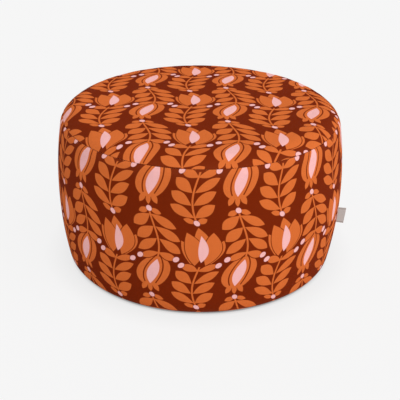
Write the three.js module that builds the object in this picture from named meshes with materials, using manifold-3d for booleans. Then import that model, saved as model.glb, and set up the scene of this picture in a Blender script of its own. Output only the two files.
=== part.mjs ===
// Round upholstered tuffet: a foam drum with a fibre wrap and a sewn liner, in a printed
// cover that comes off through a zip under its back edge. Millimetres, +Z up. The origin is
// on the floor, on the drum's axis. The front faces -Y and the label is at +X.

import * as THREE from 'three'
import { mergeVertices } from 'three/addons/utils/BufferGeometryUtils.js'
import Module from 'manifold-3d'

const wasm = await Module()
wasm.setup()

// Overall form of the drum
const overallDiameter = 500
const overallHeight = 280
const crownRise = 4.5
const widestHeightShare = 0.51
const sideBowRadius = 660
const topShoulderRadius = 42
const sideShoulderRadius = 25
const baseCornerRadius = 15
const topSeamTilt = THREE.MathUtils.degToRad(40)
const roundSteps = 36

// Cloth, wadding and foam
const coverThickness = 0.8
const seamAllowance = 10
const linerThickness = 0.6
const waddingThickness = 10
const seatFoamThickness = 60
const fitGap = 0.3

// Zip chain
const zipSweep = THREE.MathUtils.degToRad(150)
const tapeReach = 14
const tapeThickness = 0.6
const tapeEdge = 1.5
const tapeTail = 12
const toothPitch = 4.8
const toothThickness = 2.6
const toothRoot = 3.4
const toothTip = 1.1
const toothRootWidth = 0.9
const toothFlankGap = 0.3
const zipSteps = 25

// Zip slider, its pull and the stops
const sliderLength = 14
const sliderWidth = 9.6
const sliderShoulderWidth = 10.8
const sliderPlate = 1
const sliderPlay = 0.35
const flangeWidth = 0.9
const flangeSlot = 1.4
const dividerWidth = 2.3
const bridgeLength = 9
const bridgeWidth = 2
const bridgeBeam = 1
const bridgeWall = 1.8
const bridgeHollow = 1.8
const pullLength = 21
const pullWidth = 5.2
const pullTipWidth = 6.6
const pullThickness = 1
const pullWindowWidth = 3
const pullWindowLength = 5.2
const stopLength = 3.5
const stopReach = 3.1
const stopPlate = 0.7
const floorClearance = 0.4
const clothOpeningHalf = 6.5
const fuseDepth = 0.3

// The shallow well under the drum that keeps the zip off the floor
const wellSlope = 12
const flatRim = 2.5

// Folded label in the side seam
const labelHeight = 30
const labelProjection = 20
const labelThickness = 0.8
const labelLeaf = 0.3
const labelFoldWidth = 1.2
const labelFoldLength = 2.5
const labelMiddleHeight = 66
const labelDroop = 3

const up = Math.PI / 2
const bodyRadius = overallDiameter / 2
const allRound = 2 * overallDiameter

// Arcs of the side outline, each tangent to the next. Angles are measured from level.
const shoulderTop = overallHeight - crownRise
const widestHeight = overallHeight * widestHeightShare
const bowCentre = new THREE.Vector2(bodyRadius - sideBowRadius, widestHeight)
const shoulderStep = topShoulderRadius - sideShoulderRadius
const sideShoulderHeight = shoulderTop - topShoulderRadius + shoulderStep * Math.sin(topSeamTilt)
const bowTopTilt = Math.asin((sideShoulderHeight - widestHeight) / (sideBowRadius - sideShoulderRadius))
const bowBaseTilt = Math.asin((widestHeight - baseCornerRadius) / (sideBowRadius - baseCornerRadius))
const sideShoulderCentre = onArc(bowCentre, sideBowRadius - sideShoulderRadius, bowTopTilt)
const topShoulderCentre = onArc(sideShoulderCentre, -shoulderStep, topSeamTilt)
const baseCornerCentre = onArc(bowCentre, sideBowRadius - baseCornerRadius, -bowBaseTilt)

// Depths of the layers under the outer skin
const hemThickness = 2 * coverThickness
const linerDepth = hemThickness + fitGap
const waddingDepth = linerDepth + linerThickness + fitGap
const foamDepth = waddingDepth + waddingThickness + fitGap

// Heights and widths of the zip and its well
const sliderHalfHeight = toothThickness / 2 + sliderPlay + sliderPlate
const bridgeDepth = bridgeHollow + bridgeBeam
const zipHeight = floorClearance + bridgeDepth + sliderHalfHeight
const wellHeight = zipHeight - tapeThickness / 2 - fitGap - hemThickness
const hemReach = clothOpeningHalf + seamAllowance
const wellHalf = Math.max(hemReach, tapeReach) + coverThickness
const wellFoot = wellHalf + wellSlope
const zipRadius = baseCornerCentre.x - flatRim - wellFoot
const chainHeadroom = zipHeight + sliderHalfHeight + fitGap
const headroomHalf = sliderShoulderWidth / 2 + fitGap

function onArc(centre, radius, tilt) {
  return new THREE.Vector2(centre.x + radius * Math.cos(tilt), centre.y + radius * Math.sin(tilt))
}

// The skin from the middle of the top to the flat underside, as runs of known length.
// Each run gives its point at a share of that length and at a depth under the skin.
function crownPoint(share, depth) {
  const rise = crownRise * (1 - share * share)
  return new THREE.Vector2(topShoulderCentre.x * share, shoulderTop + rise - depth)
}

function arcRun(centre, radius, fromTilt, toTilt, steps) {
  const at = (share, depth) => onArc(centre, radius - depth, fromTilt + (toTilt - fromTilt) * share)
  return { length: radius * (fromTilt - toTilt), steps, at }
}

// Deeper than its radius the base corner is a sharp one, where the bow meets the level
function cornerPoint(share, depth) {
  if (depth < baseCornerRadius) {
    return onArc(baseCornerCentre, baseCornerRadius - depth, -bowBaseTilt + (bowBaseTilt - up) * share)
  }
  return bowPoint(depth, depth)
}

function bowPoint(height, depth) {
  return onArc(bowCentre, sideBowRadius - depth, Math.asin((height - widestHeight) / (sideBowRadius - depth)))
}

const crownRun = { length: topShoulderCentre.x, steps: 2, at: crownPoint }
const topShoulderRun = arcRun(topShoulderCentre, topShoulderRadius, up, topSeamTilt, 3)
const sideShoulderRun = arcRun(sideShoulderCentre, sideShoulderRadius, topSeamTilt, bowTopTilt, 2)
const bowRun = arcRun(bowCentre, sideBowRadius, bowTopTilt, -bowBaseTilt, 3)
const cornerRun = { length: baseCornerRadius * (up - bowBaseTilt), steps: 3, at: cornerPoint }
const skinRuns = [crownRun, topShoulderRun, sideShoulderRun, bowRun, cornerRun]

const topSeam = crownRun.length + topShoulderRun.length
const bowEnd = topSeam + sideShoulderRun.length + bowRun.length
const skinEnd = bowEnd + cornerRun.length
const linerSeam = bowEnd + cornerRun.length / cornerRun.steps

const foamSplit = overallHeight - foamDepth - seatFoamThickness
const foamSplitTilt = Math.asin((foamSplit - widestHeight) / (sideBowRadius - foamDepth))

// One more station lies where the two foams meet, so that every layer bends there alike
function skinStations() {
  const stations = [topSeam + sideShoulderRun.length + sideBowRadius * (bowTopTilt - foamSplitTilt)]
  let start = 0
  for (const run of skinRuns) {
    for (let step = 0; step < run.steps; step += 1) {
      stations.push(start + run.length * step / run.steps)
    }
    start += run.length
  }
  return stations.sort((first, second) => first - second)
}

function skinPoint(distance, depth) {
  let start = 0
  for (const run of skinRuns) {
    if (distance <= start + run.length || run === cornerRun) {
      return run.at(Math.min((distance - start) / run.length, 1), depth)
    }
    start += run.length
  }
  return cornerPoint(1, depth)
}

// Points of the skin between two distances, at a depth, from the top downwards
function skinBetween(from, to, depth) {
  const between = skinStations().filter((station) => station > from + fitGap && station < to - fitGap)
  const distances = [from, ...between, to]
  const points = distances.map((distance) => skinPoint(distance, depth))
  return points.filter((point) => point.y >= depth - fitGap / 2)
}

// A layer's underside, from the base corner to the axis, raised over the zip's well
function underside(level, rise, topHalf, footHalf) {
  return [
    new THREE.Vector2(zipRadius + footHalf, level),
    new THREE.Vector2(zipRadius + topHalf, rise),
    new THREE.Vector2(zipRadius - topHalf, rise),
    new THREE.Vector2(zipRadius - footHalf, level),
    new THREE.Vector2(0, level)
  ]
}

// Solids and meshes
function solidFrom(geometry) {
  geometry.deleteAttribute('normal')
  geometry.deleteAttribute('uv')
  const merged = mergeVertices(geometry)
  const corners = merged.index.array
  const triangles = []
  for (let first = 0; first < corners.length; first += 3) {
    const [a, b, c] = corners.slice(first, first + 3)
    if (a !== b && b !== c && c !== a) triangles.push(a, b, c)
  }
  const vertProperties = merged.attributes.position.array
  const triVerts = Uint32Array.from(triangles)
  return new wasm.Manifold(new wasm.Mesh({ numProp: 3, vertProperties, triVerts }))
}

// A closed section of [radius, height] points, turned once round the axis
function turned(section) {
  const distinct = section.filter((point, index) => (
    index === 0 || point.distanceTo(section[index - 1]) > fitGap / 100
  ))
  const outline = THREE.ShapeUtils.area(distinct) > 0 ? distinct : distinct.reverse()
  const onAxis = outline.filter((point) => point.x === 0)
  const closed = onAxis.length > 0 ? fromAxisToAxis(outline) : [...outline, outline[0]]
  return solidFrom(new THREE.LatheGeometry(closed, roundSteps).rotateX(up))
}

// Turns the list so that it starts at its lower point on the axis and ends at its upper one
function fromAxisToAxis(outline) {
  const lowest = outline.reduce((best, point, index) => {
    const lower = point.x === 0 && (best < 0 || point.y < outline[best].y)
    return lower ? index : best
  }, -1)
  return [...outline.slice(lowest), ...outline.slice(0, lowest)]
}

function extruded(shape, depth, curveSegments = zipSteps) {
  return new THREE.ExtrudeGeometry(shape, { depth, bevelEnabled: false, curveSegments })
}

function outlineOf(points) {
  return new THREE.Shape(points.map(([x, y]) => new THREE.Vector2(x, y)))
}

function block(sizeX, sizeY, sizeZ, x, y, z) {
  return solidFrom(new THREE.BoxGeometry(sizeX, sizeY, sizeZ).translate(x, y, z))
}

const tuffet = new THREE.Group()

function addPart(name, solid, material) {
  const mesh = solid.getMesh()
  const geometry = new THREE.BufferGeometry()
  geometry.setAttribute('position', new THREE.BufferAttribute(mesh.vertProperties, 3))
  geometry.setIndex(new THREE.BufferAttribute(mesh.triVerts, 1))
  geometry.computeVertexNormals()
  const part = new THREE.Mesh(geometry, material)
  part.name = name
  tuffet.add(part)
  return part
}

function finish(color, roughness, metalness = 0) {
  return new THREE.MeshStandardMaterial({ color, roughness, metalness })
}

const printedCloth = finish(0xa6501f, 0.85)
const baseCloth = finish(0x2b211d, 0.9)
const labelCloth = finish(0xb9b6b1, 0.8)
const zipTapeCloth = finish(0x3a1c10, 0.9)
const zipMetal = finish(0x8a6a3c, 0.35, 0.9)
const calico = finish(0xe6decb, 0.9)
const fibre = finish(0xf4f3ee, 0.95)
const softFoam = finish(0xf0e3b4, 0.95)
const firmFoam = finish(0x9fb4c4, 0.95)

// The opening in the cloth that bares the zip chain, and places along the zip.
// A place is a length along the chain from the end of the tapes nearest the label.
const zipLength = zipRadius * zipSweep
const zipStart = up - zipSweep / 2
const bottomStopPlace = tapeTail + stopLength / 2
const topStopPlace = zipLength - tapeTail - stopLength / 2
const sliderClosedPlace = topStopPlace - stopLength / 2 - fitGap - sliderLength / 2
const sliderOpenPlace = bottomStopPlace + stopLength / 2 + fitGap + sliderLength / 2

function zipAngle(place) {
  return zipStart + place / zipRadius
}

function ringSector(innerRadius, outerRadius, fromPlace, toPlace) {
  const shape = new THREE.Shape()
  shape.absarc(0, 0, outerRadius, zipAngle(fromPlace), zipAngle(toPlace), false)
  shape.absarc(0, 0, innerRadius, zipAngle(toPlace), zipAngle(fromPlace), true)
  shape.closePath()
  return shape
}

const clothOpeningShape = ringSector(
  zipRadius - clothOpeningHalf,
  zipRadius + clothOpeningHalf,
  tapeTail / 2,
  zipLength - tapeTail / 2
)
const clothOpening = solidFrom(extruded(clothOpeningShape, zipHeight))

// Cover cloth. A section follows the skin and is twice as thick where the edge is turned in.
function topPanelSection() {
  const edge = topSeam - fitGap / 2
  const hemStart = edge - seamAllowance
  const outer = skinBetween(0, edge, 0)
  const thin = skinBetween(0, hemStart, coverThickness)
  const hem = skinBetween(hemStart, edge, hemThickness)
  return [...outer, ...hem.reverse(), ...thin.reverse()]
}

function sidePanelSection(thickness) {
  const edge = topSeam + fitGap / 2
  const hemEnd = edge + seamAllowance
  const baseEdge = zipRadius + fitGap / 2
  const hemRadius = zipRadius + hemReach
  const outerBase = underside(0, wellHeight, wellHalf, wellFoot).slice(0, 2)
  const innerBase = underside(thickness, wellHeight + thickness, wellHalf, wellFoot).slice(0, 2)
  const outer = [...skinBetween(edge, skinEnd, 0), ...outerBase, new THREE.Vector2(baseEdge, wellHeight)]
  const baseHem = [
    new THREE.Vector2(hemRadius, wellHeight + thickness),
    new THREE.Vector2(hemRadius, wellHeight + hemThickness),
    new THREE.Vector2(baseEdge, wellHeight + hemThickness)
  ]
  const topHem = skinBetween(edge, hemEnd, hemThickness)
  const thin = skinBetween(hemEnd, skinEnd, thickness)
  return [...outer, ...[...topHem, ...thin, ...innerBase, ...baseHem].reverse()]
}

function basePanelSection() {
  const edge = zipRadius - fitGap / 2
  const hemRadius = zipRadius - hemReach
  const outer = underside(0, wellHeight, wellHalf, wellFoot).slice(3)
  const inner = underside(coverThickness, wellHeight + coverThickness, wellHalf, wellFoot).slice(2)
  return [
    new THREE.Vector2(edge, wellHeight + hemThickness),
    new THREE.Vector2(hemRadius, wellHeight + hemThickness),
    new THREE.Vector2(hemRadius, wellHeight + coverThickness),
    ...inner,
    ...outer.reverse(),
    new THREE.Vector2(zipRadius - wellHalf, wellHeight),
    new THREE.Vector2(edge, wellHeight)
  ]
}

// The label's room in the plane of the side seam, between the seam's edges
function labelOutline(seat, margin, projection) {
  const low = labelMiddleHeight - labelHeight / 2 - margin
  const high = labelMiddleHeight + labelHeight / 2 + margin
  const innerLow = bowPoint(low, seat)
  const innerHigh = bowPoint(high, seat)
  return outlineOf([
    [innerLow.x, low],
    [innerLow.x + seat + projection, low - labelDroop],
    [innerHigh.x + seat + projection, high - labelDroop],
    [innerHigh.x, high]
  ])
}

function upright(shape, thickness) {
  return solidFrom(extruded(shape, thickness).rotateX(up).translate(0, thickness / 2, 0))
}

// Label tape folded in half, seen from above: two leaves that part a little before the fold.
// X runs outwards from the held ends.
function foldedTapeOutline() {
  const length = coverThickness + labelProjection
  const half = labelThickness / 2
  const foldHalf = labelFoldWidth / 2
  const foldStart = length - labelFoldLength
  const foldCentre = length - foldHalf
  const shape = new THREE.Shape()
  shape.moveTo(0, -half)
  shape.lineTo(foldStart, -half)
  shape.lineTo(foldCentre, -foldHalf)
  shape.absarc(foldCentre, 0, foldHalf, -up, up, false)
  shape.lineTo(foldStart, half)
  shape.lineTo(0, half)
  shape.lineTo(0, half - labelLeaf)
  shape.lineTo(foldStart, half - labelLeaf)
  shape.lineTo(foldCentre, foldHalf - labelLeaf)
  shape.absarc(foldCentre, 0, foldHalf - labelLeaf, up, -up, true)
  shape.lineTo(foldStart, labelLeaf - half)
  shape.lineTo(0, labelLeaf - half)
  shape.closePath()
  return shape
}

// The held ends follow the bowed side, and the folded edge hangs a little lower
function setInSeam(geometry) {
  const places = geometry.attributes.position
  for (let index = 0; index < places.count; index += 1) {
    const outwards = places.getX(index)
    const height = labelMiddleHeight - labelHeight / 2 + places.getZ(index)
    const droop = labelDroop * outwards / (coverThickness + labelProjection)
    places.setX(index, bowPoint(height, coverThickness).x + outwards)
    places.setZ(index, height - droop)
  }
  return geometry
}

const labelFoldSegments = 6
const pocketThickness = labelThickness + 2 * fitGap
const label = solidFrom(setInSeam(extruded(foldedTapeOutline(), labelHeight, labelFoldSegments)))
const labelPocket = upright(labelOutline(hemThickness + fitGap, fitGap, labelProjection), pocketThickness)

const sideSeamBand = block(allRound, 2 * seamAllowance, allRound, 0, 0, 0)
const sideRing = turned(sidePanelSection(coverThickness))
const sideHems = turned(sidePanelSection(hemThickness)).intersect(sideSeamBand)
const sideCloth = sideRing.add(sideHems).subtract(clothOpening).subtract(labelPocket)

function halfBlock(side) {
  return block(allRound, allRound, allRound, 0, side * (allRound / 2 + fitGap / 2), 0)
}

addPart('top_panel', turned(topPanelSection()), printedCloth)
addPart('side_panel_front', sideCloth.intersect(halfBlock(-1)), printedCloth)
addPart('side_panel_rear', sideCloth.intersect(halfBlock(1)), printedCloth)
addPart('base_panel', turned(basePanelSection()).subtract(clothOpening), baseCloth)
addPart('side_label', label, labelCloth)

// Inner layers: liner, fibre wadding and the two foams glued one on the other
function layerSection(from, to, depth, thickness) {
  return [...skinBetween(from, to, depth), ...skinBetween(from, to, depth + thickness).reverse()]
}

function linerBaseSection() {
  const from = linerSeam + fitGap / 2
  const innerDepth = linerDepth + linerThickness
  const outer = [
    ...skinBetween(from, skinEnd, linerDepth),
    ...underside(linerDepth, chainHeadroom, headroomHalf, wellFoot + fitGap)
  ]
  const inner = [
    ...skinBetween(from, skinEnd, innerDepth),
    ...underside(innerDepth, chainHeadroom + linerThickness, headroomHalf, wellFoot + fitGap)
  ]
  return [...outer, ...inner.reverse()]
}

function waddingBaseSection() {
  const from = bowEnd + fitGap / 2
  const innerDepth = waddingDepth + waddingThickness
  const rise = chainHeadroom + linerThickness + fitGap
  const outer = [
    ...skinBetween(from, skinEnd, waddingDepth),
    ...underside(waddingDepth, rise, headroomHalf, wellFoot + fitGap)
  ]
  const inner = [...skinBetween(from, skinEnd, innerDepth), new THREE.Vector2(0, innerDepth)]
  return [...outer, ...inner.reverse()]
}

function seatFoamSection() {
  const bottom = foamSplit + fitGap / 2
  const skin = skinBetween(0, skinEnd, foamDepth).filter((point) => point.y > bottom + fitGap)
  return [...skin, bowPoint(bottom, foamDepth), new THREE.Vector2(0, bottom)]
}

function coreFoamSection() {
  const top = foamSplit - fitGap / 2
  const skin = skinBetween(0, skinEnd, foamDepth).filter((point) => point.y < top - fitGap)
  return [new THREE.Vector2(0, top), bowPoint(top, foamDepth), ...skin, new THREE.Vector2(0, foamDepth)]
}

const topHalfSeam = topSeam - fitGap / 2
const sideHalfSeam = topSeam + fitGap / 2
addPart('liner_top', turned(layerSection(0, topHalfSeam, linerDepth, linerThickness)), calico)
const linerSideSection = layerSection(sideHalfSeam, linerSeam - fitGap / 2, linerDepth, linerThickness)
addPart('liner_side', turned(linerSideSection), calico)
addPart('liner_base', turned(linerBaseSection()), calico)
addPart('wadding_top', turned(layerSection(0, topHalfSeam, waddingDepth, waddingThickness)), fibre)
const waddingSideSection = layerSection(sideHalfSeam, bowEnd - fitGap / 2, waddingDepth, waddingThickness)
addPart('wadding_side', turned(waddingSideSection), fibre)
addPart('wadding_base', turned(waddingBaseSection()), fibre)
addPart('seat_foam', turned(seatFoamSection()), softFoam)
addPart('core_foam', turned(coreFoamSection()), firmFoam)

// Zip tapes, each with its row of moulded teeth. The teeth of the two rows stand half a pitch
// apart and are wider at the tip than at the root, so that they hold each other. Each tooth has
// a narrower nose that finds its way between the two teeth opposite.
const toothSlope = (toothPitch / 2 - toothFlankGap - toothRootWidth) / (2 * toothRoot)
const noseWidthShare = 0.55
const noseLengthShare = 0.45
const toothShoulder = toothTip * (1 - noseLengthShare)
const toothTipWidth = toothRootWidth + 2 * toothSlope * (toothRoot + toothShoulder)
const toothNoseWidth = toothTipWidth * noseWidthShare
const firstTooth = bottomStopPlace + stopLength / 2 + toothPitch / 2
const lastTooth = sliderClosedPlace - toothPitch / 2
const toothCount = Math.floor((lastTooth - firstTooth) / toothPitch)

// side is 1 for the outer tape, on the side panel, and -1 for the inner one, on the base
function toothedTape(side) {
  const near = zipRadius + side * tapeEdge
  const far = zipRadius + side * tapeReach
  const band = ringSector(Math.min(near, far), Math.max(near, far), 0, zipLength)
  const tooth = outlineOf([
    [zipRadius + side * toothRoot, -toothRootWidth / 2],
    [zipRadius - side * toothShoulder, -toothTipWidth / 2],
    [zipRadius - side * toothTip, -toothNoseWidth / 2],
    [zipRadius - side * toothTip, toothNoseWidth / 2],
    [zipRadius - side * toothShoulder, toothTipWidth / 2],
    [zipRadius + side * toothRoot, toothRootWidth / 2]
  ])
  const lead = side > 0 ? 0 : toothPitch / 2
  let tape = solidFrom(extruded(band, tapeThickness).translate(0, 0, zipHeight - tapeThickness / 2))
  for (let index = 0; index < toothCount; index += 1) {
    const geometry = extruded(tooth, toothThickness).translate(0, 0, zipHeight - toothThickness / 2)
    geometry.rotateZ(zipAngle(firstTooth + lead + index * toothPitch))
    tape = tape.add(solidFrom(geometry))
  }
  return tape
}

addPart('zip_tape_side', toothedTape(1), zipTapeCloth)
addPart('zip_tape_base', toothedTape(-1), zipTapeCloth)

// Pieces that sit on the chain are drawn with X along the zip, towards its closed end,
// Y across it and Z up from the middle of the tapes, and then set at their place
function setOnChain(part, place) {
  const angle = zipAngle(place)
  part.position.set(zipRadius * Math.cos(angle), zipRadius * Math.sin(angle), zipHeight)
  part.rotation.z = angle + up
  return part
}

// Clips over the tape edges that end the slider's run. Each has a plate above and one below
// the tapes, joined by a web between their edges.
function stopSection(fromY, toY, webFromY, webToY) {
  const inside = tapeThickness / 2 + fitGap
  const outside = inside + stopPlate
  const plates = [1, -1].map((side) => {
    const middle = side * (inside + outside) / 2
    return block(stopLength, toY - fromY, stopPlate, 0, (fromY + toY) / 2, middle)
  })
  const web = block(stopLength, webToY - webFromY, 2 * outside, 0, (webFromY + webToY) / 2, 0)
  return plates[0].add(plates[1]).add(web)
}

const webEdge = tapeEdge - fitGap
const splitEdge = fitGap / 2
const bottomStop = stopSection(-stopReach, stopReach, -webEdge, webEdge)
const sideTopStop = stopSection(-stopReach, -splitEdge, -webEdge, -splitEdge)
const baseTopStop = stopSection(splitEdge, stopReach, splitEdge, webEdge)
setOnChain(addPart('zip_bottom_stop', bottomStop, zipMetal), bottomStopPlace)
setOnChain(addPart('zip_top_stop_side', sideTopStop, zipMetal), topStopPlace)
setOnChain(addPart('zip_top_stop_base', baseTopStop, zipMetal), topStopPlace)

// Slider: two plates joined by the divider between them, with flanges along their sides that
// leave a slot for each tape, and a bridge below for the pull
const plateLengthShares = [-0.5, -0.44, 0, 0.25, 0.4, 0.5]
const plateEndShare = 0.7
const dividerLengthShares = [0.1, 0.3, 0.48]
const flangeEndShare = 0.1
const bridgeTaperShare = 0.4

function sliderPlateOutline() {
  const places = plateLengthShares.map((share) => share * sliderLength)
  const [rear, rearCorner, neck, shoulder, frontCorner, front] = places
  const half = sliderWidth / 2
  const shoulderHalf = sliderShoulderWidth / 2
  const edge = [
    [rear, half * plateEndShare],
    [rearCorner, half],
    [neck, half],
    [shoulder, shoulderHalf],
    [frontCorner, shoulderHalf],
    [front, shoulderHalf * plateEndShare]
  ]
  const mirrored = edge.map(([x, y]) => [x, -y])
  return outlineOf([...mirrored, ...edge.reverse()])
}

function sliderFlange(acrossSide, upSide) {
  const length = (flangeEndShare - plateLengthShares[0]) * sliderLength
  const middle = (flangeEndShare + plateLengthShares[0]) * sliderLength / 2
  const height = sliderHalfHeight - flangeSlot / 2
  const y = acrossSide * (sliderWidth - flangeWidth) / 2
  return block(length, flangeWidth, height, middle, y, upSide * (sliderHalfHeight + flangeSlot / 2) / 2)
}

function sliderDivider() {
  const [tip, full, end] = dividerLengthShares.map((share) => share * sliderLength)
  const half = dividerWidth / 2
  const wedge = outlineOf([[tip, 0], [full, -half], [end, -half], [end, half], [full, half]])
  const height = 2 * (sliderHalfHeight - sliderPlate / 2)
  return solidFrom(extruded(wedge, height).translate(0, 0, -height / 2))
}

function sliderBridge() {
  const outer = bridgeLength / 2
  const inner = outer - bridgeWall
  const lower = outer - bridgeWall * bridgeTaperShare
  const arch = outlineOf([
    [-outer, fuseDepth],
    [-outer, 0],
    [-lower, -bridgeDepth],
    [lower, -bridgeDepth],
    [outer, 0],
    [outer, fuseDepth],
    [inner, fuseDepth],
    [inner, -bridgeHollow],
    [-inner, -bridgeHollow],
    [-inner, fuseDepth]
  ])
  const geometry = extruded(arch, bridgeWidth).rotateX(up)
  return solidFrom(geometry.translate(0, bridgeWidth / 2, -sliderHalfHeight))
}

function sliderSolid() {
  const plate = sliderPlateOutline()
  const lowerPlate = solidFrom(extruded(plate, sliderPlate).translate(0, 0, -sliderHalfHeight))
  const upperPlate = solidFrom(extruded(plate, sliderPlate).translate(0, 0, sliderHalfHeight - sliderPlate))
  let solid = lowerPlate.add(sliderDivider()).add(upperPlate).add(sliderBridge())
  for (const acrossSide of [1, -1]) {
    for (const upSide of [1, -1]) {
      solid = solid.add(sliderFlange(acrossSide, upSide))
    }
  }
  return solid
}

setOnChain(addPart('zip_slider', sliderSolid(), zipMetal), sliderClosedPlace)

// Pull: a tapered tab with a window. The bar across the window's end lies in the bridge, and
// the pull turns about it. It is stored lying back over the closed chain.
const pullBar = pullThickness
const pullWindowStart = pullBar / 2
const pullWaistShare = 0.45
const pullCornerShare = 0.93
const gripHoleShare = 0.8
const gripHoleRadius = 1.4

function pullOutline() {
  const half = pullWidth / 2
  const tipHalf = pullTipWidth / 2
  const tip = pullBar / 2 - pullLength
  const waist = pullLength * pullWaistShare
  const corner = pullLength * pullCornerShare
  const shape = outlineOf([
    [pullBar / 2, -half],
    [pullBar / 2, half],
    [-waist, half],
    [-corner, tipHalf],
    [tip, tipHalf * plateEndShare],
    [tip, -tipHalf * plateEndShare],
    [-corner, -tipHalf],
    [-waist, -half]
  ])
  const windowHalf = pullWindowWidth / 2
  const windowEnd = pullWindowStart + pullWindowLength
  const pullWindow = new THREE.Path([
    new THREE.Vector2(-pullWindowStart, -windowHalf),
    new THREE.Vector2(-windowEnd, -windowHalf),
    new THREE.Vector2(-windowEnd, windowHalf),
    new THREE.Vector2(-pullWindowStart, windowHalf)
  ])
  const gripHole = new THREE.Path()
  gripHole.absarc(-pullLength * gripHoleShare, 0, gripHoleRadius, 0, 2 * Math.PI, false)
  shape.holes.push(pullWindow, gripHole)
  return shape
}

const pullSteps = 10
const pullDrop = sliderHalfHeight + bridgeHollow / 2
const pullPlate = extruded(pullOutline(), pullThickness, pullSteps).translate(0, 0, -pullThickness / 2)
const pull = setOnChain(addPart('zip_pull', solidFrom(pullPlate), zipMetal), sliderClosedPlace)
pull.position.z -= pullDrop

export default tuffet
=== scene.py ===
# Round upholstered tuffet: a foam drum in fibre wadding and a sewn calico liner, under a printed
# cover with a folded label in its side seam and a zip below its back edge. Metres, +Z up; the
# front faces -Y and the label is at +X.

import math

import bmesh
import bpy
import numpy as np
from mathutils import Matrix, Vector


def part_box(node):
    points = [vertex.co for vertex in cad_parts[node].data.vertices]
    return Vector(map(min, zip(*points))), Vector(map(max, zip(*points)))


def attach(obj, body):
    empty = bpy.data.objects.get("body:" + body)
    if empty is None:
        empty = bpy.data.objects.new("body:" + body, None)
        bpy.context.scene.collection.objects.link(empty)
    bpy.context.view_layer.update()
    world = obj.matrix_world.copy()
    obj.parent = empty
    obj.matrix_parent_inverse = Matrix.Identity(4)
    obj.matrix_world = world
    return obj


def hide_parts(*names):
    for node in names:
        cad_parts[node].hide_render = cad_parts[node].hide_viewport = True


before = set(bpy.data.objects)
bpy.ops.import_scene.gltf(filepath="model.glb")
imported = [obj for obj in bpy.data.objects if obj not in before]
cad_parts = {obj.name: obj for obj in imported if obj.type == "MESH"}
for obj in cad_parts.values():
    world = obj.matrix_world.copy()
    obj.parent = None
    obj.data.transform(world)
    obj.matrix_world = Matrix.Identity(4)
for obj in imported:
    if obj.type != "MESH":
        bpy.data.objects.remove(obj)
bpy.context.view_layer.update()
scene = bpy.context.scene

# Camera: a long lens a little above the seat, looking down on the drum from the front. It leans
# slightly to one side.
view_distance = 1.657
view_elevation = math.radians(26.65)
view_roll = 0.012
view_offset = 0.00065
aim_height = 0.0913


def add_object(name, data):
    """Puts an object in the scene."""
    added = bpy.data.objects.new(name, data)
    scene.collection.objects.link(added)
    return added


scene.camera = add_object("camera", bpy.data.cameras.new("camera"))
scene.camera.data.lens = 82.4
camera_place = Matrix.Translation((
    view_offset,
    -view_distance * math.cos(view_elevation),
    aim_height + view_distance * math.sin(view_elevation),
))
camera_tilt = Matrix.Rotation(math.pi / 2 - view_elevation, 4, "X")
scene.camera.matrix_world = camera_place @ camera_tilt @ Matrix.Rotation(view_roll, 4, "Z")

# Studio: a plain pale floor under a plain pale sky, and one broad soft lamp high on the right.
# The camera sees the floor and the sky in the same pale grey, with a faint real shadow on the floor
# and a painted shade, from ambient occlusion, that darkens the floor only close to the drum. A
# painted contact shade has a depth and a reach.


def linear(red, green, blue):
    """A screen colour, each part from 0 to 255, as the linear colour that a material takes."""
    parts = np.array([red, green, blue]) / 255
    low, high = parts / 12.92, ((parts + 0.055) / 1.055) ** 2.4
    return *np.where(parts > 0.04045, high, low).tolist(), 1.0


def add_node(kind, inputs=None, tree=None, **settings):
    """The outputs of a new node. An input is a constant or an output of a node in the same tree."""
    inputs = inputs or {}
    tree = tree or next(value.id_data for value in inputs.values() if hasattr(value, "id_data"))
    node = tree.nodes.new(kind if kind.startswith("Geometry") else "ShaderNode" + kind)
    for name, value in settings.items():
        setattr(node, name, value)
    for place, value in inputs.items():
        if hasattr(value, "id_data"):
            tree.links.new(value, node.inputs[place])
        else:
            node.inputs[place].default_value = value
    return node.outputs


def calc(operation, *values):
    """The result of a Math node."""
    return add_node("Math", dict(enumerate(values)), operation=operation)[0]


def times(first, second, *plus):
    """The product of two numbers, with a third added to it where one is given."""
    return calc("MULTIPLY_ADD" if plus else "MULTIPLY", first, second, *plus)


background_grey = linear(246, 246, 246)
floor_white = linear(235, 234, 234)
lamp_elevation = math.radians(48)
lamp_azimuth = math.radians(43)
floor_size = 24.0
floor_drop = 0.0004
shadow_share = 0.08
contact_shades = ((0.13, 0.05), (0.22, 0.0065), (0.75, 0.0032))

scene.view_settings.view_transform = "Standard"
scene.world = bpy.data.worlds.new("sky")
scene.world.use_nodes = True
sky_tree = scene.world.node_tree
sky_tree.nodes.clear()
rays = add_node("LightPath", tree=sky_tree)
seen = calc("MAXIMUM", rays["Is Camera Ray"], rays["Is Glossy Ray"])
seen = calc("MAXIMUM", seen, rays["Is Transmission Ray"])
lit = add_node("Background", {"Strength": 0.56, "Color": (1, 1, 1, 1)}, sky_tree)[0]
shown = add_node("Background", {"Color": background_grey}, sky_tree)[0]
add_node("OutputWorld", {"Surface": add_node("MixShader", {0: seen, 1: lit, 2: shown})[0]})

lamp = add_object("lamp", bpy.data.lights.new("lamp", "SUN"))
lamp.data.energy = 2.3
lamp.data.angle = math.radians(75)
lamp.rotation_euler = (math.pi / 2 - lamp_elevation, 0, lamp_azimuth)

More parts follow.
